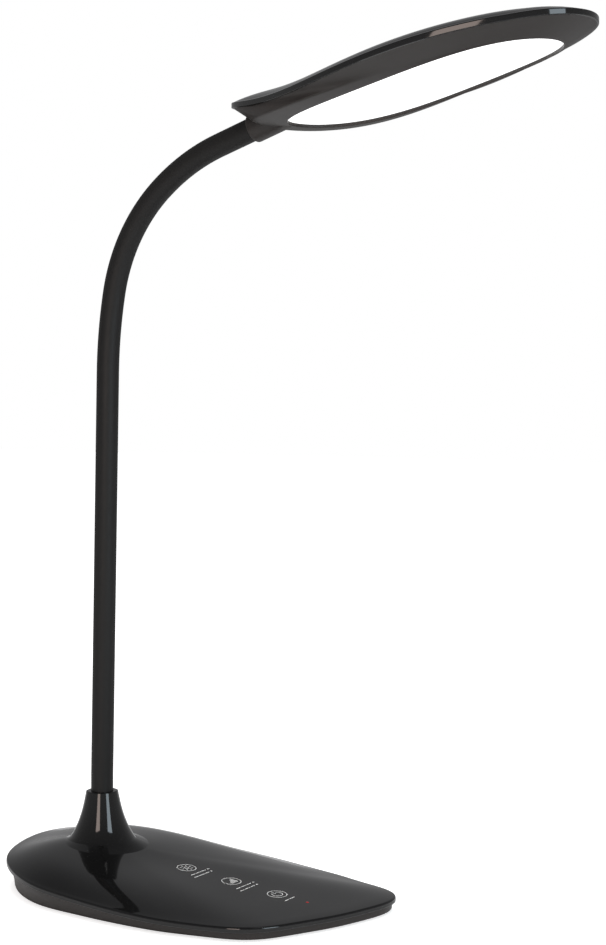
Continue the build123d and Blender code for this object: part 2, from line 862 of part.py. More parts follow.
def led_emitters():
    emitters = []
    count = int(window_length / led_pitch) - 1
    for x in led_column_places:
        for i in range(count):
            along = window_rear + (i + 1.2) * led_pitch
            inside = along > window_rear + led_board_start + led_size[1]
            if not inside or width_at(window_points, along) < abs(x) + 4:
                continue
            place = head_place(x, along, led_board_lift, -0.12 - led_size[2] / 2)
            emitters.append(place * Box(*led_size))
    return emitters


def led_board_screws():
    made = []
    for along in led_screw_places:
        place = head_place(0, along, led_board_lift, -0.1)
        head = Pos(0, 0, -0.5) * Cylinder(led_screw_head_radius, 1.0)
        shank = Pos(0, 0, led_screw_length / 2 - 0.05) * Cylinder(led_screw_radius, led_screw_length)
        made.append(place * (head + shank))
    return made


def neck_head_fitting():
    ferrule = neck_tube(sleeve_stop, sleeve_stop + ferrule_length, neck_radius, 0)
    ferrule = ferrule - neck_tube(neck_length, hose_stop + 0.1, hose_radius + slip, 0)
    ferrule = ferrule - neck_tube(neck_length, neck_length + 40, lead_radius + lead_room, 0)
    dimple = grub_frame() * Pos(0, 0, neck_radius) * Cylinder(screw_radius + thread_clearance, 4)
    return ferrule - dimple


def grub_frame():
    origin = neck_point(neck_length + grub_place)
    return Plane(origin=origin, x_dir=(0, 1, 0), z_dir=(1, 0, 0)).location


def head_grub_screw():
    middle = neck_radius - 0.3
    grub = grub_frame() * Pos(0, 0, middle) * Cylinder(screw_radius, grub_length)
    hexagon = extrude(RegularPolygon(0.9, 6), 1.2, both=True)
    socket = grub_frame() * Pos(0, 0, middle + grub_length / 2) * hexagon
    return grub - socket


lead_run_in_head = 29.7


def head_lead():
    """Lead from the last bending point to its plug on the LED board."""
    stop = neck_length + lead_run_in_head
    return neck_piece(bend_places[-1], stop, lead_radius, 0, True, False)


def head_lead_plug():
    along = head_overhang + lead_run_in_head * math.sin(neck_end_lean) + plug_size[1] / 2 + 0.9
    place = head_place(0, along, led_board_top, plug_size[2] / 2 + 0.05)
    return place * Box(*plug_size)


# The lamp's pieces, one file for each


def lamp_pieces():
    pieces = {
        "base_top_cover": base_top_cover(),
        "base_bottom_shell": base_bottom_shell(),
        "foot_pads": foot_pads(),
        "base_screws": base_screws(),
        "ballast_plate": ballast_plate(),
        "neck_bracket": neck_bracket(),
        "bracket_screws": bracket_screws(),
        "neck_base_fitting": neck_base_fitting(),
        "neck_lock_washer": neck_lock_washer(),
        "neck_lock_nut": neck_lock_nut(),
        "touch_board": touch_board(),
        "touch_foam_pads": touch_foam_pads(),
        "status_light_pipe": status_light_pipe(),
        "driver_board": driver_board(),
        "driver_inductor": driver_inductor(),
        "base_lead_plugs": lead_connectors(),
        "dc_jack_housing": dc_jack_housing(),
        "dc_jack_pin": dc_jack_pin(),
        "board_screws": board_screws(),
        "touch_lead": touch_lead(),
        "head_lower_shell": head_lower_shell(),
        "head_top_cover": head_top_cover(),
        "diffuser": diffuser(),
        "reflector_frame": reflector_frame(),
        "led_board": led_board(),
        "led_emitters": led_emitters(),
        "led_board_screws": led_board_screws(),
        "neck_head_fitting": neck_head_fitting(),
        "head_grub_screw": head_grub_screw(),
        "head_lead_plug": head_lead_plug(),
    }
    pieces.update(neck_parts())
    return pieces


def write_parts():
    for name, piece in lamp_pieces().items():
        solids = piece if isinstance(piece, list) else [piece]
        solids = [solid for item in solids for solid in item.solids()]
        export_step(Compound(children=solids), f"parts/{name}.step")


if __name__ == "__main__":
    write_parts()
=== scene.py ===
import json
import math

import bmesh
import bpy
import numpy as np
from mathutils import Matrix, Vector

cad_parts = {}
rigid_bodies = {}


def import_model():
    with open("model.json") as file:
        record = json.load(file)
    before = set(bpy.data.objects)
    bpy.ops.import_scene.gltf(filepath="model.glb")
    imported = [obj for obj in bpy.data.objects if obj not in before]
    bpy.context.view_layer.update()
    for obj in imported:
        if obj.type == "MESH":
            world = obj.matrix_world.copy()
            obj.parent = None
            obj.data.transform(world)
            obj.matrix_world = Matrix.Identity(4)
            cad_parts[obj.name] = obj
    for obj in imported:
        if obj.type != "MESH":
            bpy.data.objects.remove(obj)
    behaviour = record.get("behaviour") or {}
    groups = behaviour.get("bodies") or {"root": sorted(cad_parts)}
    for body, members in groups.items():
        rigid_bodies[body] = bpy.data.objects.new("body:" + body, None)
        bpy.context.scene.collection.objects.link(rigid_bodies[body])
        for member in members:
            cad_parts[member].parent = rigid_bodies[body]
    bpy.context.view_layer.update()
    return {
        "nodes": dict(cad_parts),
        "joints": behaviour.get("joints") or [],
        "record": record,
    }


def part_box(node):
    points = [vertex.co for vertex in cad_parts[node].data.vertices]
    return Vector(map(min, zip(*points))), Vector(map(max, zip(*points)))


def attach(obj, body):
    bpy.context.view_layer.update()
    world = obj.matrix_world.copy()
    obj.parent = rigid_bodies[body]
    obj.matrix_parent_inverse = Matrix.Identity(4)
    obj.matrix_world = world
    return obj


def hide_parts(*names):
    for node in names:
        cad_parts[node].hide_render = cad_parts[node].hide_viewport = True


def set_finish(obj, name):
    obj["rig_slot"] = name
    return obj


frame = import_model()
nodes = frame["nodes"]
joints = frame["joints"]
print("frame loaded:", len(nodes), "nodes")

mm = 0.001
ringCount = 160  # points round the base and the head

# Camera

cameraView = {"place": (-766.0, -642.8, 265.0), "heading": 33.73, "tilt": -2.37, "lens": 109.43}


def addCamera():
    heading = math.radians(cameraView["heading"])
    tilt = math.radians(cameraView["tilt"])
    flat = math.cos(tilt)
    look = Vector((flat * math.cos(heading), flat * math.sin(heading), math.sin(tilt)))
    bpy.ops.object.camera_add(location=Vector(cameraView["place"]) * mm,
                              rotation=look.to_track_quat("-Z", "Y").to_euler())
    camera = bpy.context.object
    camera.data.lens = cameraView["lens"]
    camera.data.sensor_width = 36.0
    camera.data.sensor_fit = "HORIZONTAL"
    camera.data.clip_end = 20.0
    bpy.context.scene.camera = camera


addCamera()
print("camera placed")

# Shaping by hand: a circle is extruded ring by ring, and each ring is laid on its own curve


def clearSelection():
    if bpy.context.object and bpy.context.object.mode == "EDIT":
        bpy.ops.object.mode_set(mode="OBJECT")
    bpy.ops.object.select_all(action="DESELECT")


def pick(piece):
    clearSelection()
    piece.select_set(True)
    bpy.context.view_layer.objects.active = piece


def layRing(piece, ring):
    shape = bmesh.from_edit_mesh(piece.data)
    place = shape.verts.layers.int["place"]
    for vert in shape.verts:
        if vert.select:
            vert.co = Vector(ring[vert[place]]) * mm
    bmesh.update_edit_mesh(piece.data)


def closeHoles(bridge):  # else the first and last rings are closed flat
    bpy.ops.mesh.select_all(action="DESELECT")
    bpy.ops.mesh.select_mode(type="EDGE")
    bpy.ops.mesh.select_non_manifold()
    if bridge:
        bpy.ops.mesh.bridge_edge_loops()
    else:
        bpy.ops.mesh.edge_face_add()


def ringSkin(name, rings, close="bridge", sharpAngle=35.0):
    clearSelection()
    bpy.ops.mesh.primitive_circle_add(vertices=len(rings[0]), radius=mm)
    piece = bpy.context.object
    piece.name = name
    bpy.ops.object.mode_set(mode="EDIT")
    shape = bmesh.from_edit_mesh(piece.data)
    place = shape.verts.layers.int.new("place")
    for i, vert in enumerate(shape.verts):
        vert[place] = i
    layRing(piece, rings[0])
    for ring in rings[1:]:
        bpy.ops.mesh.extrude_region_move()
        layRing(piece, ring)
    if close == "seam":  # the first and last rings each fold onto a line
        bpy.ops.mesh.select_all(action="SELECT")
        bpy.ops.mesh.remove_doubles(threshold=0.001 * mm)
    else:
        closeHoles(close == "bridge")
    bpy.ops.mesh.select_all(action="SELECT")
    bpy.ops.mesh.normals_make_consistent(inside=False)
    bpy.ops.object.mode_set(mode="OBJECT")
    smoothShade(piece, sharpAngle)
    return piece


def smoothShade(piece, sharpAngle):
    pick(piece)
    bpy.ops.object.shade_smooth_by_angle(angle=math.radians(sharpAngle))


def addCylinder(radius, start, end, sides=48):
    clearSelection()
    start = Vector(start)
    run = Vector(end) - start
    bpy.ops.mesh.primitive_cylinder_add(
        vertices=sides, radius=radius * mm, depth=run.length * mm,
        location=(start + run / 2) * mm, rotation=run.to_track_quat("Z", "Y").to_euler())
    return bpy.context.object


def joined(parts):
    clearSelection()
    for part in parts:
        part.select_set(True)
    bpy.context.view_layer.objects.active = parts[0]
    if len(parts) > 1:
        bpy.ops.object.join()
    bpy.ops.object.transform_apply(location=True, rotation=True, scale=True)
    return parts[0]


def combine(piece, tools, operation):
    tool = joined(tools)
    pick(piece)
    modifier = piece.modifiers.new("Combine", "BOOLEAN")
    modifier.object = tool
    modifier.operation = operation
    modifier.solver = "EXACT"
    modifier.use_self = True
    bpy.ops.object.modifier_apply(modifier=modifier.name)
    bpy.data.objects.remove(tool)


def closedCurve(points, harmonics):  # even points on a closed curve, its finest wiggles left out
    line = np.array(points, float)
    share = np.linspace(0, 1, 24, endpoint=False)[:, None]
    spans = []
    for i in range(len(line)):
        a, b, c, d = (line[(i + k) % len(line)] for k in (-1, 0, 1, 2))
        spans.append(b + share * (c - a) / 2 + share**2 * (2 * a - 5 * b + 4 * c - d) / 2
                     + share**3 * (3 * b - a - 3 * c + d) / 2)
    fine = np.concatenate(spans)
    fine = np.vstack((fine, fine[:1]))
    along = np.concatenate(([0.0], np.cumsum(np.linalg.norm(np.diff(fine, axis=0), axis=1))))
    places = np.linspace(0, along[-1], ringCount, endpoint=False)
    x = np.interp(places, along, fine[:, 0])
    y = np.interp(places, along, fine[:, 1])
    waves = np.fft.fft(x + 1j * y)
    waves[harmonics + 1:-harmonics] = 0
    smooth = np.fft.ifft(waves)
    return np.column_stack((smooth.real, smooth.imag))


def inwardNormals(loop):  # for a loop that runs anticlockwise
    run = np.roll(loop, -1, 0) - np.roll(loop, 1, 0)
    run /= np.linalg.norm(run, axis=1)[:, None]
    return np.column_stack((-run[:, 1], run[:, 0]))


def ringAt(loop, height):
    return np.column_stack((loop, np.broadcast_to(height, len(loop))))


def roundOver(radius, steps):  # (inset, drop) along a quarter round, from the side to the top
    turns = np.linspace(0, math.pi / 2, steps + 1)
    return [(radius * (1 - math.cos(a)), radius * (1 - math.sin(a))) for a in turns]


# Base cover with its boot

baseCover = {
    "outline": [  # rim's points, anticlockwise from the front
        (24.6, -164.0), (43.6, -160.4), (50.2, -147.6), (55.5, -131.2), (62.2, -105.0),
        (66.4, -73.8), (67.5, -41.0), (65.2, 0.0), (53.2, 32.6), (25.3, 52.2), (-6.7, 51.3),
        (-38.6, 34.7), (-59.9, 0.0), (-64.5, -49.2), (-61.8, -90.2), (-49.2, -131.2),
        (-27.9, -146.0), (-6.0, -156.0),
    ],
    "harmonics": 14, "edgeLow": 8.3, "edgeRise": 5.8, "riseStart": 110.0, "band": 2.8,
    "edgeRound": 1.1, "crown": 7.4, "crownPower": 1.15, "lengthwise": 2.0, "sideways": 3.6,
    "swell": 3.4, "swellRadius": 30.0, "wall": 2.0, "bandRound": 0.25, "bandMiddle": 0.6,
    "shelf": 0.2, "underShares": (1.0, 0.8, 0.6, 0.4, 0.2, 0.08),
}
boot = {
    "top": 51.0, "foot": 19.0, "radius": 8.6, "slope": 6.2, "flare": 8.0, "flarePower": 3.0,
    "blend": 2.4, "start": 32.0, "collarRound": 0.7, "bore": 6.12, "mouthRound": 0.2,
    "hollowTop": 39.0, "hollowFoot": 26.0,
}
rim = closedCurve(baseCover["outline"], baseCover["harmonics"])
rimInward = inwardNormals(rim)


def edgeHeight(y):
    ahead = np.maximum(0.0, (y + baseCover["riseStart"]) / baseCover["riseStart"])
    return baseCover["edgeLow"] + baseCover["edgeRise"] * ahead**1.5


def bootRadius(z):
    share = (boot["top"] - z) / (boot["top"] - boot["foot"])
    return boot["radius"] + boot["slope"] * share + boot["flare"] * share ** boot["flarePower"]


def bootHeight(radius):
    heights = np.linspace(boot["top"], 0.0, 400)
    return np.interp(radius, bootRadius(heights), heights)


def coverHeight(x, y, rimRadius):  # rimRadius is how far the rim is from the stem, that way
    radius = np.hypot(x, y)
    across = (x / np.maximum(radius, 0.01)) ** 2
    flatness = baseCover["lengthwise"] + baseCover["sideways"] * across
    share = np.clip(1 - (radius / rimRadius) ** flatness, 0, 1)
    low = edgeHeight(y) + baseCover["crown"] * share ** baseCover["crownPower"]
    low = low + baseCover["swell"] * np.exp(-((radius / baseCover["swellRadius"]) ** 2))
    high = bootHeight(np.maximum(radius, boot["radius"]))
    nearness = np.clip(1 - np.abs(low - high) / boot["blend"], 0, 1)
    return np.maximum(low, high) + boot["blend"] / 4 * nearness**2


def insetRim(inset, drop):
    loop = rim + rimInward * inset
    return ringAt(loop, edgeHeight(loop[:, 1]) - drop)


crownEdge = insetRim(baseCover["edgeRound"], 0.0)
edgeTurn = np.arctan2(crownEdge[:, 1], crownEdge[:, 0])
edgeRadius = np.hypot(crownEdge[:, 0], crownEdge[:, 1])


def onCover(x, y, lift=0.0):  # a place on the cover's top
    turn = np.arctan2(y, x)
    rimRadius = np.interp(turn, edgeTurn, edgeRadius, period=2 * math.pi)
    return np.column_stack((x, y, coverHeight(x, y, rimRadius) + lift))


def coverRings():
    band = baseCover["band"]
    bandRound = baseCover["bandRound"]
    rings = [insetRim(bandRound, band), insetRim(0.0, band - bandRound)]
    rings.append(insetRim(0.0, band * baseCover["bandMiddle"]))
    rings += [insetRim(inset, drop) for inset, drop in roundOver(baseCover["edgeRound"], 5)]

    def crownRing(radius, drop=0.0):
        x = radius * np.cos(edgeTurn)
        y = radius * np.sin(edgeTurn)
        return np.column_stack((x, y, coverHeight(x, y, edgeRadius) - drop))

    def inwardRing(share, drop=0.0):  # 0 at the crown's edge and 1 round the boot
        return crownRing(edgeRadius ** (1 - share) * boot["start"] ** share, drop)

    rings += [inwardRing(share) for share in np.linspace(0, 1, 19)[1:] ** 1.2]
    bootSteps = np.geomspace(boot["start"], boot["radius"] + 0.06, 26)[1:]
    rings += [crownRing(np.full(ringCount, radius)) for radius in bootSteps]
    circle = np.column_stack((np.cos(edgeTurn), np.sin(edgeTurn)))
    for inset, drop in roundOver(boot["collarRound"], 4):
        rings.append(ringAt(circle * (boot["radius"] - inset), boot["top"] - drop))
    mouth = boot["mouthRound"]
    rings.append(ringAt(circle * (boot["bore"] + mouth), boot["top"]))
    rings.append(ringAt(circle * boot["bore"], boot["top"] - mouth))
    rings.append(ringAt(circle * boot["bore"], boot["hollowTop"]))
    wall = baseCover["wall"]
    for z in np.linspace(boot["hollowTop"], boot["hollowFoot"], 6):  # inside of the boot
        rings.append(ringAt(circle * (bootRadius(z) - wall), z))
    rings += [inwardRing(share, wall) for share in baseCover["underShares"]]
    inside = wall + baseCover["shelf"]
    rings.append(insetRim(inside, wall))
    rings.append(insetRim(inside, band))
    return rings


def makeBaseCover():
    cover = ringSkin("baseTopCover", coverRings())
    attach(cover, "root")
    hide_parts("base_top_cover")
    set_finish(cover, "gloss_black")


makeBaseCover()
print("base cover made")

# Base tray, set in behind the rim

baseTray = {
    "insetFront": 1.8, "insetRear": 2.8, "taperFront": 0.2, "taperRear": 2.3, "taperPower": 1.4,
    "frontShare": 0.6, "bottom": 1.3, "wall": 2.0, "rimGap": 0.15, "edgeRound": 1.2,
    "middle": (0.0, -50.0), "middleScale": 0.5,
    "screwPlaces": ((-42.0, 5.0), (42.0, 5.0), (-40.5, -95.1), (40.5, -95.1)),
    "postRadius": 4.5, "postLow": 2.5, "postHigh": 5.4, "screwHeadRadius": 2.8,
    "screwHeadHeight": 1.6, "shankRadius": 1.6, "shankLow": 0.5, "shankHigh": 6.0,
    "footPlaces": ((36.6, -132.8), (-23.9, -121.4), (37.9, 17.9), (-33.9, 15.8)),
    "footRadius": 6.6, "middleFootRadius": 9.1, "footDepth": 0.5,
    "jackRadius": 4.1, "jackInside": 38.0, "jackOutside": 60.0,
}


def trayRings():
    front = rim[:, 1].min()
    reach = rim[:, 1].max() - front
    share = np.clip((rim[:, 1] - front) / (baseTray["frontShare"] * reach), 0, 1)[:, None]
    inset = baseTray["insetFront"] + (baseTray["insetRear"] - baseTray["insetFront"]) * share
    taper = baseTray["taperFront"] + (baseTray["taperRear"] - baseTray["taperFront"]) * share
    top = edgeHeight(rim[:, 1]) - baseCover["wall"] - baseTray["rimGap"]
    bottom = baseTray["bottom"]

    def sideRing(level, depth):  # level is 1 at the top and 0 at the bottom
        loop = rim + rimInward * (inset + taper * (1 - level) ** baseTray["taperPower"] + depth)
        return ringAt(loop, bottom + (top - bottom) * level)

    def floorRing(depth):  # the bottom ring, drawn in towards the middle
        ring = sideRing(0.0, depth)
        middle = np.array(baseTray["middle"])
        ring[:, :2] = (ring[:, :2] - middle) * baseTray["middleScale"] + middle
        return ring

    wall = baseTray["wall"]
    rings = [floorRing(wall)]
    rings[0][:, 2] = bottom + wall
    for level in (0.0, 0.3, 0.6, 1.0):
        rings.append(sideRing(level, wall))
    rings[1][:, 2] = bottom + wall
    rings += [sideRing(level, 0.0) for level in np.linspace(1, 0.3, 7)]
    edge = rings[-1]
    for turn in np.linspace(0, math.pi / 2, 6)[1:]:
        ring = edge.copy()
        ring[:, :2] += rimInward * baseTray["edgeRound"] * (1 - math.cos(turn))
        ring[:, 2] += (bottom - edge[:, 2]) * math.sin(turn)
        rings.append(ring)
    rings.append(floorRing(baseTray["edgeRound"]))
    return rings


def addUpright(radius, x, y, low, high, sides=48):
    return addCylinder(radius, (x, y, low), (x, y, high), sides)


def makeBaseTray():
    tray = ringSkin("baseTray", trayRings(), close="flat", sharpAngle=40.0)
    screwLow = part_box("base_screws")[0]
    seat = screwLow.z / mm + baseTray["screwHeadHeight"]
    shankLow = baseTray["shankLow"]
    shankHigh = baseTray["shankHigh"]
    holes = []
    posts = []
    for x, y in baseTray["screwPlaces"]:
        posts.append(
            addUpright(baseTray["postRadius"], x, y, baseTray["postLow"], baseTray["postHigh"])
        )
        holes.append(addUpright(baseTray["screwHeadRadius"], x, y, 0.0, seat))
        holes.append(addUpright(baseTray["shankRadius"], x, y, shankLow, shankHigh, 24))
    footTop = baseTray["bottom"] + baseTray["footDepth"]
    for x, y in baseTray["footPlaces"]:
        holes.append(addUpright(baseTray["footRadius"], x, y, 0.0, footTop))
    holes.append(addUpright(baseTray["middleFootRadius"], 0, 0, 0, footTop))
    jackLow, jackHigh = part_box("dc_jack_housing")
    jackAxis = (jackLow.z + jackHigh.z) / 2 / mm
    jackEnds = [(0, baseTray[end], jackAxis) for end in ("jackInside", "jackOutside")]
    holes.append(addCylinder(baseTray["jackRadius"], *jackEnds))
    combine(tray, posts, "UNION")
    combine(tray, holes, "DIFFERENCE")
    smoothShade(tray, 40.0)
    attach(tray, "root")
    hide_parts("base_bottom_shell")
    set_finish(tray, "satin_grey")


makeBaseTray()
print("base tray made")

# Head: two leaf outlines, each by a short formula, on one long S curve

headShape = {
    "rearTip": -91.8, "rimLength": 196.1, "rimWaves": (46.9, -7.25, -1.63, 1.47, 2.47),
    "windowRear": -126.0, "windowLength": 145.4,
    "windowWaves": (35.35, -0.88, 2.82, -0.49, -0.39),
    "middle": -198.0, "scale": 80.0,  # the terms below run from rear to front through the middle
    "windowHeight": (411.24, 18.72, 1.64, -4.91), "lipWidth": (5.9, -10.8, 0.5),
    "lipRise": (1.65, -0.79, -1.54), "side": (4.24, -0.21, 2.76),
    "leastLip": 0.8, "step": 0.8, "wall": 1.9, "edgeShare": 0.16,
    "panelGap": 0.1, "windowSteps": ((0.0, 0.4), (0.12, 0.1)), "lipShares": (0.05, 0.35, 0.65),
    "innerSideShares": (0.98, 0.7, 0.4), "innerLipShares": (0.8, 0.5, 0.2),
}
headTurns = np.linspace(0, 2 * math.pi, ringCount, endpoint=False)


def leafOutline(rear, length, waves):
    width = sum(wave * np.cos(k * headTurns) for k, wave in enumerate(waves))
    return np.column_stack((-np.sin(headTurns) * width,
                            rear - length * (1 - np.cos(headTurns)) / 2))


def alongHead(name, y):
    t = (headShape["middle"] - y) / headShape["scale"]
    return sum(term * t**k for k, term in enumerate(headShape[name]))


headRim = leafOutline(headShape["rearTip"], headShape["rimLength"], headShape["rimWaves"])
window = leafOutline(headShape["windowRear"], headShape["windowLength"], headShape["windowWaves"])
headRimInward = inwardNormals(headRim)
windowInward = inwardNormals(window)


def windowRing(outset, lift):
    loop = window - windowInward * outset
    return ringAt(loop, alongHead("windowHeight", loop[:, 1]) + lift)


def lipRing(share, lift=0.0):  # 0 at the window and 1 at the crease
    width = np.maximum(alongHead("lipWidth", window[:, 1]), headShape["leastLip"])[:, None]
    loop = window - windowInward * width * share
    y = loop[:, 1]
    height = alongHead("windowHeight", y) + np.maximum(alongHead("lipRise", y), 0.0) * share
    return ringAt(loop, height + lift)


def rimHeight(y):
    rise = np.maximum(alongHead("lipRise", y), 0.0)
    return alongHead("windowHeight", y) + rise + alongHead("side", y)


def sideRing(share, inset=0.0):  # 0 at the crease and 1 under the rim
    top = headRim + headRimInward * (headShape["step"] + inset)
    top = ringAt(top, rimHeight(headRim[:, 1]))
    return lipRing(1.0) * (1 - share) + top * share


def creaseRing(turn):  # soft edge between the lip and the side
    share = headShape["edgeShare"]
    start = lipRing(1 - share)
    end = sideRing(share)
    return (1 - turn) ** 2 * start + 2 * turn * (1 - turn) * lipRing(1.0) + turn**2 * end


def headShellRings():
    wall = headShape["wall"]
    share = headShape["edgeShare"]
    rings = [windowRing(0.0, diffuserPanel["lift"] - headShape["panelGap"])]
    rings += [windowRing(outset, lift) for outset, lift in headShape["windowSteps"]]
    rings += [lipRing(level) for level in headShape["lipShares"]]
    rings += [creaseRing(turn) for turn in np.linspace(0, 1, 7)]
    rings += [sideRing(level) for level in np.linspace(share, 1, 8)[1:]]
    rings += [sideRing(level, wall) for level in headShape["innerSideShares"]]
    rings += [lipRing(level, wall) for level in headShape["innerLipShares"]]
    return rings


headBoss = {
    "radius": 7.4, "start": 1.5, "length": 21.0, "endRound": 0.9, "endRings": 4.0, "bore": 6.12,
    "boreStop": 7.6, "mouthRound": 0.2,
}
diffuserPanel = {
    "lift": 1.9, "thickness": 1.5, "overlap": 2.0, "endShrink": 0.5, "edgeShare": 0.005,
    "edgeRise": 0.15, "shares": (1.0, 0.8, 0.6, 0.4, 0.2, 0.08),
}


def makeHeadBoss():  # socket that the gooseneck goes into
    neckStop = sum(stretch for stretch, turn in neckRoute["stretches"])
    start = neckStop + headBoss["start"]
    stop = start + headBoss["length"]
    bore = headBoss["bore"]
    mouth = headBoss["mouthRound"]
    rings = [neckRing(neckStop + headBoss["boreStop"], bore)]
    rings += [neckRing(start + mouth, bore), neckRing(start, bore + mouth)]
    for inset, drop in roundOver(headBoss["endRound"], 4)[::-1]:
        rings.append(neckRing(start + drop, headBoss["radius"] - inset))
    for place in np.linspace(start + headBoss["endRings"], stop, 5):
        rings.append(neckRing(place, headBoss["radius"]))
    return ringSkin("headBoss", rings, close="flat")


def makeHeadShell():
    shell = ringSkin("headLowerShell", headShellRings(), sharpAngle=30.0)
    combine(shell, [makeHeadBoss()], "UNION")
    smoothShade(shell, 30.0)
    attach(shell, "head")
    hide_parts("head_lower_shell")
    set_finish(shell, "satin_grey")


def panelRing(share, lift):  # 0 at the panel's edge and 1 on its middle line
    loop = window - windowInward * diffuserPanel["overlap"]
    middleY = loop[:, 1].mean()
    y = middleY + (loop[:, 1] - middleY) * (1 - diffuserPanel["endShrink"] * share)
    x = loop[:, 0] * (1 - share)
    return np.column_stack((x, y, alongHead("windowHeight", y) + lift))


def makeDiffuser():
    low = diffuserPanel["lift"]
    high = low + diffuserPanel["thickness"]
    edgeRise = diffuserPanel["edgeRise"]
    shares = (*diffuserPanel["shares"], diffuserPanel["edgeShare"])
    rings = [panelRing(share, low) for share in shares]
    rings += [panelRing(0.0, low + edgeRise), panelRing(0.0, high - edgeRise)]
    rings += [panelRing(share, high) for share in shares[::-1]]
    panel = ringSkin("diffuserPanel", rings, close="seam")
    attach(panel, "head")
    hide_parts("diffuser")
    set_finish(panel, "diffuser_white")


headCap = {
    "band": 2.9, "edgeRound": 0.7, "crown": 8.3, "crownPower": 4.4, "wall": 1.9,
    "endShrink": 0.72, "fallStart": 0.3, "frontFall": 2.4, "footRound": 0.2,
    "shares": (0.02, 0.05, 0.09, 0.14, 0.2, 0.28, 0.37, 0.48, 0.6, 0.73, 0.87, 1.0),
}


def capRing(share, lift=0.0):  # share is 0 at the rim and 1 on the middle line
    start = headRim + headRimInward * headCap["edgeRound"]
    middleY = start[:, 1].mean()
    y = middleY + (start[:, 1] - middleY) * (1 - headCap["endShrink"] * share)
    x = start[:, 0] * (1 - share)
    ahead = np.maximum((headShape["middle"] - y) / headShape["scale"] - headCap["fallStart"], 0)
    crown = headCap["crown"] - headCap["frontFall"] * ahead**2
    rise = crown * (1 - (1 - share) ** headCap["crownPower"])
    return np.column_stack((x, y, rimHeight(y) + headCap["band"] + rise + lift))


def bandRing(inset, lift):
    loop = headRim + headRimInward * inset
    return ringAt(loop, rimHeight(loop[:, 1]) + lift)


def makeHeadCap():
    band = headCap["band"]
    wall = headCap["wall"]
    foot = headCap["footRound"]
    rings = [capRing(share, -wall) for share in headCap["shares"][::-1][::2]]
    rings += [bandRing(wall, band - wall), bandRing(wall, 0.0)]
    rings += [bandRing(foot, 0.0), bandRing(0.0, foot)]
    rings += [bandRing(inset, band - drop) for inset, drop in roundOver(headCap["edgeRound"], 5)]
    rings += [capRing(share) for share in headCap["shares"]]
    cap = ringSkin("headTopCover", rings, close="seam")
    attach(cap, "head")
    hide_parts("head_top_cover")
    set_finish(cap, "gloss_black")


# Gooseneck sleeve: one piece per body, and each ends in a round lip about its bending point

sleeve = {
    "radius": 6.0, "inner": 5.2, "sides": 48, "ringGap": 2.5,
    "lipSteps": (1.0, 4.0, 8.0, 12.0, 17.0, 22.0, 26.0), "seatGap": 0.05, "seatEdge": 5.9,
    "seatSteps": (0.0, 1.2, 1.8, 2.3, 2.7, 3.1), "boreMargin": 0.5,
}
neckRoute = {
    "start": 51.0,
    "stretches": [  # length, and the turn over it in degrees
        (12.0, 1.38), (215.2, 0.0), (42.8, 9.83), (62.3, 39.6), (43.4, 22.05), (21.4, 0.0),
    ],
    "bends": [15.0, 55.0, 95.0, 180.0, 225.0, 262.0, 296.0, 330.0, 366.0],
    "below": 20.0, "intoHead": 7.0,
}


def neckState(distance):  # y, z and forward lean, in radians, at a distance from the boot's top
    if distance < 0:
        return 0.0, neckRoute["start"] + distance, 0.0
    y = 0.0
    z = neckRoute["start"]
    lean = 0.0
    left = distance
    for length, turn in neckRoute["stretches"]:
        step = max(0.0, min(left, length))
        if turn == 0.0:
            y -= step * math.sin(lean)
            z += step * math.cos(lean)
        else:
            radius = length / math.radians(turn)
            after = lean + step / radius
            y -= radius * (math.cos(lean) - math.cos(after))
            z += radius * (math.sin(after) - math.sin(lean))
            lean = after
        left -= step
    return y - left * math.sin(lean), z + left * math.cos(lean), lean


def leaningRing(y, z, lean, radius):  # a circle square to the gooseneck's run
    turns = np.linspace(0, 2 * math.pi, sleeve["sides"], endpoint=False)
    across = radius * np.cos(turns)
    up = radius * np.sin(turns)
    return np.column_stack((across, y + up * math.cos(lean), z + up * math.sin(lean)))


def neckRing(distance, radius):
    return leaningRing(*neckState(distance), radius)


def lipRings(bend):  # a sphere about the bending point, so that the joint stays closed as it turns
    y, z, lean = neckState(bend)
    last = math.degrees(math.acos(sleeve["inner"] / sleeve["radius"]))
    rings = []
    for step in (*sleeve["lipSteps"], last):
        radius = sleeve["radius"] * math.cos(math.radians(step))
        ahead = sleeve["radius"] * math.sin(math.radians(step))
        middleY = y - ahead * math.sin(lean)
        middleZ = z + ahead * math.cos(lean)
        rings.append(leaningRing(middleY, middleZ, lean, radius))
    return rings


def seatRings(bend):  # the bore widens to a seat for the lip of the piece below
    rings = []
    for step in sleeve["seatSteps"]:
        seat = math.sqrt((sleeve["radius"] + sleeve["seatGap"]) ** 2 - step**2)
        rings.append(neckRing(bend + step, max(sleeve["inner"], min(sleeve["seatEdge"], seat))))
    return rings


def makeSleeves():
    length = sum(stretch for stretch, turn in neckRoute["stretches"])
    cuts = [-neckRoute["below"], *neckRoute["bends"], length + neckRoute["intoHead"]]
    bodies = ["root"] + [joint["child"] for joint in joints]
    last = len(bodies) - 1
    for i, body in enumerate(bodies):
        count = int((cuts[i + 1] - cuts[i]) / sleeve["ringGap"]) + 1
        places = np.linspace(cuts[i], cuts[i + 1], count + 1)
        rings = [neckRing(place, sleeve["radius"]) for place in places]
        if i < last:
            rings += lipRings(cuts[i + 1])
        seat = seatRings(cuts[i]) if i > 0 else [neckRing(cuts[i], sleeve["inner"])]
        boreEnd = cuts[i] + sleeve["seatSteps"][-1] + sleeve["boreMargin"]
        bore = [place for place in places[::-1] if place > boreEnd]
        rings += [neckRing(place, sleeve["inner"]) for place in bore]
        rings += seat[::-1]
        piece = ringSkin(f"neckSleeve{i}", rings, sharpAngle=50.0)
        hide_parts(f"neck_sleeve_{i}")
        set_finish(piece, "black_rubber")
        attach(piece, body)


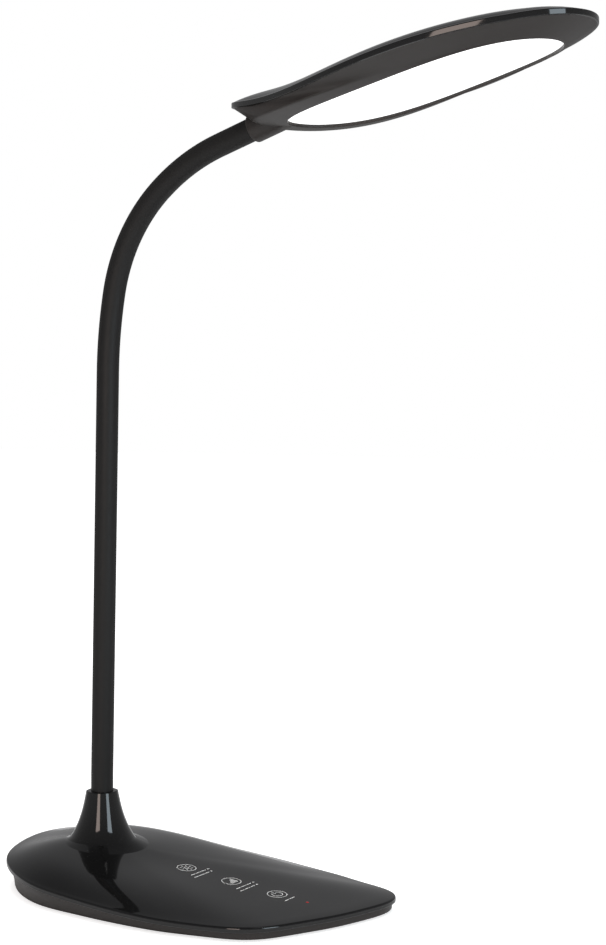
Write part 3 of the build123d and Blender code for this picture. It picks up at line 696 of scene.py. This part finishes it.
makeSleeves()
print("gooseneck sleeve made")

makeHeadShell()
makeDiffuser()
makeHeadCap()
print("head made")

# Marks printed on the cover over the touch pads, and the status light

marks = {
    "places": (-57.5, -86.7, -115.5), "ring": 5.2, "line": 0.35, "thickness": 0.05, "lift": 0.03,
    "disc": 1.4, "rayPlace": 2.9, "rayLength": 1.3, "rayTurn": 45,
    "stepBars": ((-2.1, 1.6), (-0.7, 2.8), (0.7, 4.0), (2.1, 5.2)), "stepFoot": 2.6,
    "stepWidth": 0.7, "powerArc": (3.0, 125.0, 415.0), "powerBar": 2.8, "powerBarPlace": 2.2,
    "captionRows": ((9.0, -1.6), (12.4, -3.0)), "captionWidth": 0.5,
    "captionBars": ((-4.6, 3.4), (0.0, 4.4), (4.6, 3.6)), "arrowPlace": 8.4, "arrowSize": 0.8,
    "shortRow": 9.0, "shortBars": ((-4.4, 3.4), (0.2, 4.4)),
}


def printed(outer, inner=None):  # a thin print on the cover, between two outlines
    low = marks["lift"] - marks["thickness"]
    high = marks["lift"]
    outer = np.array(outer, float)
    rings = [onCover(*outer.T, low), onCover(*outer.T, high)]
    if inner is not None:
        inner = np.array(inner, float)
        rings += [onCover(*inner.T, high), onCover(*inner.T, low)]
    return ringSkin("print", rings, close="flat" if inner is None else "bridge")


def arcPoints(x, y, radius, start=0.0, stop=360.0, count=40):
    turns = np.radians(np.linspace(start, stop, count, endpoint=stop - start < 360))
    return [(x + radius * math.cos(a), y + radius * math.sin(a)) for a in turns]


def printedRing(x, y, radius):
    line = marks["line"]
    return printed(arcPoints(x, y, radius), arcPoints(x, y, radius - line))


def printedArc(x, y, radius, start, stop):
    outside = arcPoints(x, y, radius, start, stop, 20)
    inside = arcPoints(x, y, radius - marks["line"], start, stop, 20)
    return printed(outside + inside[::-1])


def printedBar(x, y, length, turn=0.0, width=None):
    half = Vector((length / 2, 0)), Vector((0, (width or marks["line"]) / 2))
    corners = [half[0] * a + half[1] * b for a, b in ((-1, -1), (1, -1), (1, 1), (-1, 1))]
    c = math.cos(math.radians(turn))
    d = math.sin(math.radians(turn))
    return printed([(x + p.x * c - p.y * d, y + p.x * d + p.y * c) for p in corners])


def printedTriangle(x, y, size):
    return printed([(x - size, y - size / 2), (x + size, y - size / 2), (x, y + size)])


def makeMarks():
    thick = marks["captionWidth"]
    prints = []
    rays, steps, power = marks["places"]
    for y in marks["places"]:
        prints.append(printedRing(0.0, y, marks["ring"]))
    prints.append(printedRing(0.0, rays, marks["disc"]))
    for turn in range(0, 360, marks["rayTurn"]):
        x = marks["rayPlace"] * math.cos(math.radians(turn))
        y = rays + marks["rayPlace"] * math.sin(math.radians(turn))
        prints.append(printedBar(x, y, marks["rayLength"], turn))
    for x, height in marks["stepBars"]:
        y = steps - marks["stepFoot"] + height / 2
        prints.append(printedBar(x, y, height, 90.0, marks["stepWidth"]))
    prints.append(printedArc(0.0, power, *marks["powerArc"]))
    prints.append(printedBar(0.0, power + marks["powerBarPlace"], marks["powerBar"], 90.0))
    for y in (rays, steps):
        for row, middle in marks["captionRows"]:
            for x, length in marks["captionBars"]:
                prints.append(printedBar(x + middle, y - row, length, 0.0, thick))
            arrow = marks["arrowPlace"] + middle
            prints.append(printedTriangle(arrow, y - row, marks["arrowSize"]))
    for x, length in marks["shortBars"]:
        prints.append(printedBar(x, power - marks["shortRow"], length, 0.0, thick))
    touchMarks = joined(prints)
    touchMarks.name = "touchMarks"
    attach(touchMarks, "root")
    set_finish(touchMarks, "white_plastic")


statusLight = {
    "place": -134.0, "radius": 0.8,
    "dome": ((1.0, -1.5), (1.0, 0.0), (0.93, 0.06), (0.75, 0.11), (0.4, 0.14)),
}


def makeStatusLight():  # domed end of the light pipe, in the cover
    rings = []
    for share, lift in statusLight["dome"]:
        circle = np.array(arcPoints(0.0, statusLight["place"], statusLight["radius"] * share))
        rings.append(onCover(*circle.T, lift))
    light = ringSkin("statusLight", rings, close="flat")
    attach(light, "root")
    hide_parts("status_light_pipe")
    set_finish(light, "red_lens")


makeMarks()
makeStatusLight()
print("marks and status light made")

# Finishes

mouldedGrain = {
    "size": 1200.0, "patchSize": 25.0, "bump": 0.1, "depth": 0.00002,
    "patchLow": 0.3, "patchHigh": 0.7,
}


def nodeIn(tree, kind, **settings):
    node = tree.nodes.new(kind)
    for key, value in settings.items():
        if key in node.inputs:
            node.inputs[key].default_value = value
        else:
            setattr(node, key, value)
    return node


def rangeIn(tree, *limits):
    node = nodeIn(tree, "ShaderNodeMapRange")
    for socket, value in zip(("From Min", "From Max", "To Min", "To Max"), limits):
        node.inputs[socket].default_value = value
    return node


def makeGrainGroup():  # fine grain as a height, and slow patches as a mask
    group = bpy.data.node_groups.new("mouldedGrain", "ShaderNodeTree")
    for name in ("Grain Size", "Patch Size"):
        group.interface.new_socket(name, in_out="INPUT", socket_type="NodeSocketFloat")
    group.interface.new_socket("Height", in_out="OUTPUT", socket_type="NodeSocketFloat")
    group.interface.new_socket("Patches", in_out="OUTPUT", socket_type="NodeSocketFloat")
    start = nodeIn(group, "NodeGroupInput")
    end = nodeIn(group, "NodeGroupOutput")
    place = nodeIn(group, "ShaderNodeTexCoord")
    grain = nodeIn(group, "ShaderNodeTexNoise", Detail=3.0)
    patches = nodeIn(group, "ShaderNodeTexNoise", Detail=4.0, Roughness=0.6)
    group.links.new(place.outputs["Object"], grain.inputs["Vector"])
    group.links.new(place.outputs["Object"], patches.inputs["Vector"])
    group.links.new(start.outputs["Grain Size"], grain.inputs["Scale"])
    group.links.new(start.outputs["Patch Size"], patches.inputs["Scale"])
    group.links.new(grain.outputs["Fac"], end.inputs["Height"])
    group.links.new(patches.outputs["Fac"], end.inputs["Patches"])
    return group


grainGroup = makeGrainGroup()


def makeFinish(name, dark, light, roughLow, roughHigh, grainSize=mouldedGrain["size"],
               patchSize=mouldedGrain["patchSize"], bump=mouldedGrain["bump"], **fixed):
    material = bpy.data.materials.new(name)
    material.use_nodes = True
    tree = material.node_tree
    shader = tree.nodes["Principled BSDF"]
    grain = nodeIn(tree, "ShaderNodeGroup", node_tree=grainGroup)
    grain.inputs["Grain Size"].default_value = grainSize
    grain.inputs["Patch Size"].default_value = patchSize
    colour = nodeIn(tree, "ShaderNodeMix", data_type="RGBA")
    colour.inputs[6].default_value = (*dark, 1)  # sockets 6 and 7 are the two colours that it mixes
    colour.inputs[7].default_value = (*light, 1)
    tree.links.new(grain.outputs["Patches"], colour.inputs["Factor"])
    tree.links.new(colour.outputs[2], shader.inputs["Base Color"])
    patchLow = mouldedGrain["patchLow"]
    rough = rangeIn(tree, patchLow, mouldedGrain["patchHigh"], roughLow, roughHigh)
    tree.links.new(grain.outputs["Patches"], rough.inputs["Value"])
    tree.links.new(rough.outputs["Result"], shader.inputs["Roughness"])
    relief = nodeIn(tree, "ShaderNodeBump", Strength=bump, Distance=mouldedGrain["depth"])
    tree.links.new(grain.outputs["Height"], relief.inputs["Height"])
    tree.links.new(relief.outputs["Normal"], shader.inputs["Normal"])
    for socket, value in fixed.items():
        shader.inputs[socket.replace("_", " ")].default_value = value
    return material


finishes = {
    "gloss_black": makeFinish("glossBlack", (0.004, 0.004, 0.004), (0.006, 0.006, 0.006),
                              0.05, 0.09, grainSize=300.0, bump=0.02),
    "satin_grey": makeFinish("satinGrey", (0.020, 0.017, 0.015), (0.025, 0.021, 0.019),
                             0.36, 0.44, grainSize=1800.0, bump=0.2, Specular_IOR_Level=0.4),
    "black_rubber": makeFinish("sleeveRubber", (0.006, 0.006, 0.006), (0.009, 0.0085, 0.008),
                               0.46, 0.56, grainSize=1500.0, bump=0.25, Specular_IOR_Level=0.3),
    "steel": makeFinish("zincSteel", (0.50, 0.50, 0.51), (0.60, 0.60, 0.60), 0.25, 0.4,
                        Metallic=1.0),
    "iron": makeFinish("castIron", (0.07, 0.07, 0.075), (0.13, 0.13, 0.135), 0.5, 0.7, bump=0.5,
                       Metallic=1.0),
    "diffuser_white": makeFinish("litDiffuser", (0.88, 0.88, 0.87), (0.92, 0.92, 0.92), 0.4, 0.5,
                                 Emission_Color=(1.0, 1.0, 1.0, 1.0), Emission_Strength=1.0),
    "white_plastic": makeFinish("whitePlastic", (0.78, 0.78, 0.76), (0.85, 0.85, 0.84), 0.35, 0.5),
    "board_green": makeFinish("boardGreen", (0.01, 0.09, 0.04), (0.02, 0.14, 0.06), 0.25, 0.4,
                              patchSize=220.0),
    "board_aluminium": makeFinish("boardWhite", (0.78, 0.79, 0.78), (0.86, 0.86, 0.86), 0.3, 0.45),
    "lead_black": makeFinish("leadJacket", (0.012, 0.012, 0.012), (0.02, 0.02, 0.02), 0.4, 0.5),
    "foam_grey": makeFinish("foamGrey", (0.05, 0.05, 0.05), (0.12, 0.12, 0.12), 0.8, 0.95,
                            grainSize=700.0, bump=0.8),
    "led_yellow": makeFinish("emitterYellow", (0.75, 0.6, 0.12), (0.85, 0.72, 0.2), 0.3, 0.4),
    "red_lens": makeFinish("redLens", (0.20, 0.004, 0.004), (0.26, 0.008, 0.008), 0.12, 0.2,
                           Emission_Color=(1.0, 0.02, 0.02, 1.0), Emission_Strength=0.15),
}


def paint(piece, material):
    piece.data.materials.clear()
    piece.data.materials.append(material)


def paintEverything():
    slots = {sub["node"]: sub["material_slot"] for sub in frame["record"]["subparts"]}
    for name, node in nodes.items():
        paint(node, finishes[slots[name]])
    for piece in bpy.context.scene.objects:
        if piece.type == "MESH" and "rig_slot" in piece:
            paint(piece, finishes[piece["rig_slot"]])


paintEverything()
print("finishes laid")

# Studio

studio = {
    "floorSize": 12.0, "floorColour": (0.85, 0.85, 0.85, 1),
    "glowNear": 0.72, "glowFar": 1.0, "nearEnd": 0.35, "farStart": 1.1,
    "roomLow": (0.0, (0.40, 0.40, 0.405, 1)), "roomHigh": (0.85, (0.13, 0.13, 0.135, 1)),
    "roomMiddle": (0.4, (0.28, 0.28, 0.285, 1)),
}


def makeFloor():
    clearSelection()
    bpy.ops.mesh.primitive_plane_add(size=studio["floorSize"])
    floor = bpy.context.object
    floor.name = "floor"
    bpy.ops.object.transform_apply(location=True, rotation=True, scale=True)
    material = bpy.data.materials.new("paleFloor")
    material.use_nodes = True
    tree = material.node_tree
    tree.nodes.remove(tree.nodes["Principled BSDF"])
    matt = nodeIn(tree, "ShaderNodeBsdfDiffuse")
    matt.inputs["Color"].default_value = studio["floorColour"]
    glow = nodeIn(tree, "ShaderNodeEmission")
    path = nodeIn(tree, "ShaderNodeLightPath")
    level = nodeIn(tree, "ShaderNodeMath", operation="MULTIPLY")
    place = nodeIn(tree, "ShaderNodeTexCoord")
    reach = nodeIn(tree, "ShaderNodeVectorMath", operation="LENGTH")
    glows = studio["glowNear"], studio["glowFar"]
    fade = rangeIn(tree, studio["nearEnd"], studio["farStart"], *glows)
    tree.links.new(place.outputs["Object"], reach.inputs[0])
    tree.links.new(reach.outputs["Value"], fade.inputs["Value"])
    tree.links.new(fade.outputs["Result"], level.inputs[1])
    tree.links.new(path.outputs["Is Camera Ray"], level.inputs[0])
    tree.links.new(level.outputs["Value"], glow.inputs["Strength"])
    both = nodeIn(tree, "ShaderNodeAddShader")
    tree.links.new(matt.outputs["BSDF"], both.inputs[0])
    tree.links.new(glow.outputs["Emission"], both.inputs[1])
    tree.links.new(both.outputs["Shader"], tree.nodes["Material Output"].inputs["Surface"])
    paint(floor, material)


def makeWorld():  # white to the camera, and a soft grey room to everything else
    world = bpy.data.worlds.new("studioRoom")
    bpy.context.scene.world = world
    world.use_nodes = True
    tree = world.node_tree
    room = tree.nodes["Background"]
    place = nodeIn(tree, "ShaderNodeTexCoord")
    split = nodeIn(tree, "ShaderNodeSeparateXYZ")
    ramp = nodeIn(tree, "ShaderNodeValToRGB")
    stops = ramp.color_ramp.elements
    stops[0].position, stops[0].color = studio["roomLow"]
    stops[1].position, stops[1].color = studio["roomHigh"]
    middlePlace, middleColour = studio["roomMiddle"]
    stops.new(middlePlace).color = middleColour
    tree.links.new(place.outputs["Generated"], split.inputs["Vector"])
    tree.links.new(split.outputs["Z"], ramp.inputs["Fac"])
    tree.links.new(ramp.outputs["Color"], room.inputs["Color"])
    white = nodeIn(tree, "ShaderNodeBackground", Color=(1, 1, 1, 1), Strength=1.0)
    path = nodeIn(tree, "ShaderNodeLightPath")
    mix = nodeIn(tree, "ShaderNodeMixShader")
    tree.links.new(path.outputs["Is Camera Ray"], mix.inputs["Fac"])
    tree.links.new(room.outputs["Background"], mix.inputs[1])
    tree.links.new(white.outputs["Background"], mix.inputs[2])
    tree.links.new(mix.outputs["Shader"], tree.nodes["World Output"].inputs["Surface"])


def addLamp(name, place, aim, size, power, colour=(1, 1, 1)):
    clearSelection()
    run = Vector(aim) - Vector(place)
    bpy.ops.object.light_add(type="AREA", location=Vector(place) * mm,
                             rotation=run.to_track_quat("-Z", "Y").to_euler())
    lamp = bpy.context.object
    lamp.name = name
    lamp.data.shape = "RECTANGLE"
    lamp.data.size = size[0] * mm
    lamp.data.size_y = size[1] * mm
    lamp.data.energy = power
    lamp.data.color = colour
    return lamp


def addLamps():
    target = (0, -100, 200)
    top = addLamp("topSoftbox", (-500, -600, 1900), target, (1300, 1300), 30)
    top.visible_glossy = False
    addLamp("leftSoftbox", (-1730, -560, 760), target, (560, 1000), 9, (1.0, 0.82, 0.74))
    addLamp("rightSoftbox", (-420, -1740, 760), target, (600, 1000), 10, (0.78, 0.91, 1.0))


makeFloor()
makeWorld()
addLamps()
bpy.context.scene.view_settings.view_transform = "Standard"
print("studio ready")

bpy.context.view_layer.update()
